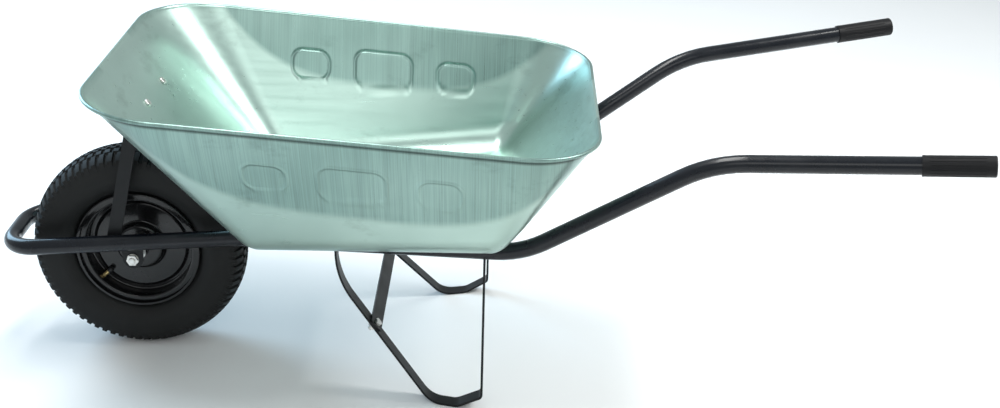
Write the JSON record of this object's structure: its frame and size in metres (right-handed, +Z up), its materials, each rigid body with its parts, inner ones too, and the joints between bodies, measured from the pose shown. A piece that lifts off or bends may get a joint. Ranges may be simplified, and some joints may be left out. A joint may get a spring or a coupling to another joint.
{
  "type": "wheelbarrow",
  "caption": "Single-wheel wheelbarrow: galvanised pan on a bent tube frame with a loop in front of a pneumatic wheel, strap legs with a brace, and ribbed grips.",
  "frame": {"origin": "on the ground, in the middle of the overall length and width", "axes": "+X from the wheel to the handles, +Y to the operator's right, +Z up"},
  "size_m": [1.704, 0.7594, 0.5847],
  "materials": {
    "tube_paint": "gloss",
    "strap_paint": "satin",
    "galvanised": "galvanised",
    "rim_paint": "gloss",
    "tyre": "matt",
    "tube_rubber": "matt",
    "grip": "matt",
    "zinc": "zinc plated",
    "bearing_steel": "polished",
    "black_plastic": "matt",
    "brass": "satin"
  },
  "bodies": {
    "frame": {"frame_tube": "tube_paint", "grip_left": "grip", "grip_right": "grip", "tray": "galvanised", "rim_wire": "zinc", "front_stay_left": "strap_paint", "front_stay_right": "strap_paint", "front_stay_plate": "strap_paint", "axle_bracket_left": "strap_paint", "axle_bracket_right": "strap_paint", "leg_left": "strap_paint", "leg_right": "strap_paint", "leg_brace": "strap_paint", "cross_bar": "strap_paint", "pan_bolts": "zinc", "pan_washers": "zinc", "pan_nuts": "zinc", "brace_bolts": "zinc", "brace_nuts": "zinc", "bearing_inner_rings": "bearing_steel", "axle_spacers": "zinc", "axle": "zinc", "axle_washers": "zinc", "axle_nuts": "zinc"},
    "wheel": {"tyre": "tyre", "inner_tube": "tube_rubber", "valve_stem": "brass", "valve_cap": "black_plastic", "rim_shell_left": "rim_paint", "rim_shell_right": "rim_paint", "hub_tube": "rim_paint", "hub_covers": "zinc", "bearing_outer_rings": "bearing_steel"},
    "ball_set": {"bearing_balls": "bearing_steel", "bearing_cages": "zinc"}
  },
  "joints": [
    {"name": "wheel_spin", "type": "hinge", "parent": "frame", "child": "wheel", "pos_m": [-0.605, 0, 0.2], "axis": [0, 1, 0], "continuous": true},
    {"name": "ball_set_spin", "type": "hinge", "parent": "frame", "child": "ball_set", "pos_m": [-0.605, 0, 0.2], "axis": [0, 1, 0], "continuous": true}
  ],
  "couplings": [
    {"joint": "ball_set_spin", "follows": "wheel_spin", "ratio": 0.635}
  ]
}
